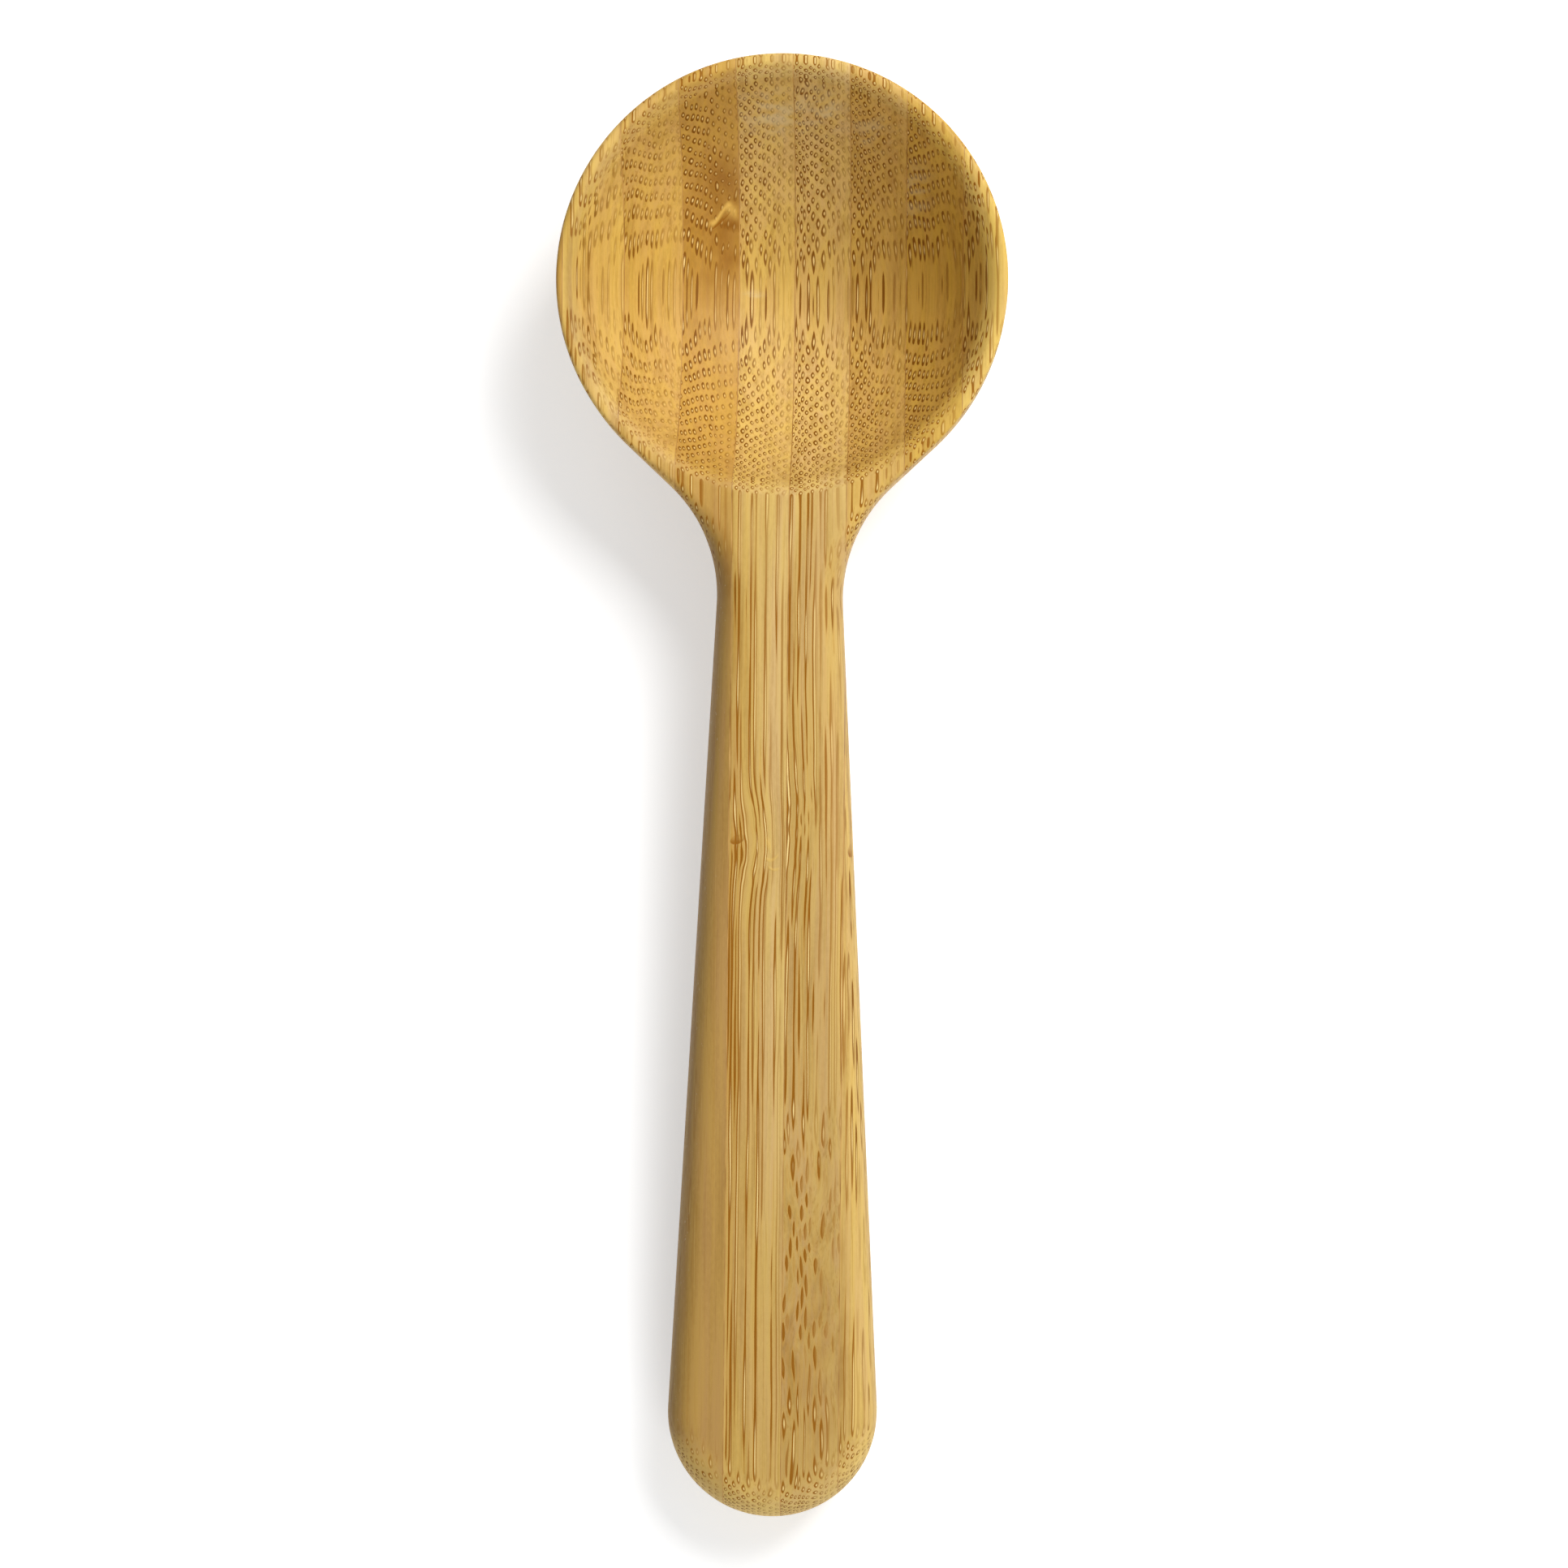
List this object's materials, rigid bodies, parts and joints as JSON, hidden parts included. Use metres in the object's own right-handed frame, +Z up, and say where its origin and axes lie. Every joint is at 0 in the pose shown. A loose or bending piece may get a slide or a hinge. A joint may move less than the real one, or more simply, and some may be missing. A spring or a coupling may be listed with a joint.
{
  "type": "coffee scoop",
  "caption": "Laminated bamboo coffee scoop: round measuring bowl with a thin rim, slim neck and flat-topped handle that widens to a round end.",
  "frame": {"origin": "middle of the footprint, on the surface that the scoop lies on at rest", "axes": "+Y along the scoop from the handle's end to the bowl, +Z up with the scoop lying at rest and its hollow upwards, +X to the right as seen from above with the bowl away from the viewer"},
  "size_m": [0.047, 0.1516, 0.0217],
  "materials": {
    "pale_bamboo": "satin lacquer",
    "honey_bamboo": "satin lacquer",
    "brown_bamboo": "satin lacquer",
    "glue": "cured wood glue under lacquer"
  },
  "bodies": {
    "root": {"left_strip_4": "honey_bamboo", "left_strip_3": "pale_bamboo", "left_strip_2": "honey_bamboo", "left_strip_1": "brown_bamboo", "centre_strip": "pale_bamboo", "right_strip_1": "honey_bamboo", "right_strip_2": "brown_bamboo", "right_strip_2_handle": "brown_bamboo", "right_strip_3": "honey_bamboo", "right_strip_4": "honey_bamboo", "glue_line_left_4": "glue", "glue_line_left_3": "glue", "glue_line_left_2": "glue", "glue_line_left_1": "glue", "glue_line_right_1": "glue", "glue_line_right_2": "glue", "glue_line_right_2_handle": "glue", "glue_line_right_3": "glue", "glue_line_right_4": "glue"}
  },
  "joints": []
}
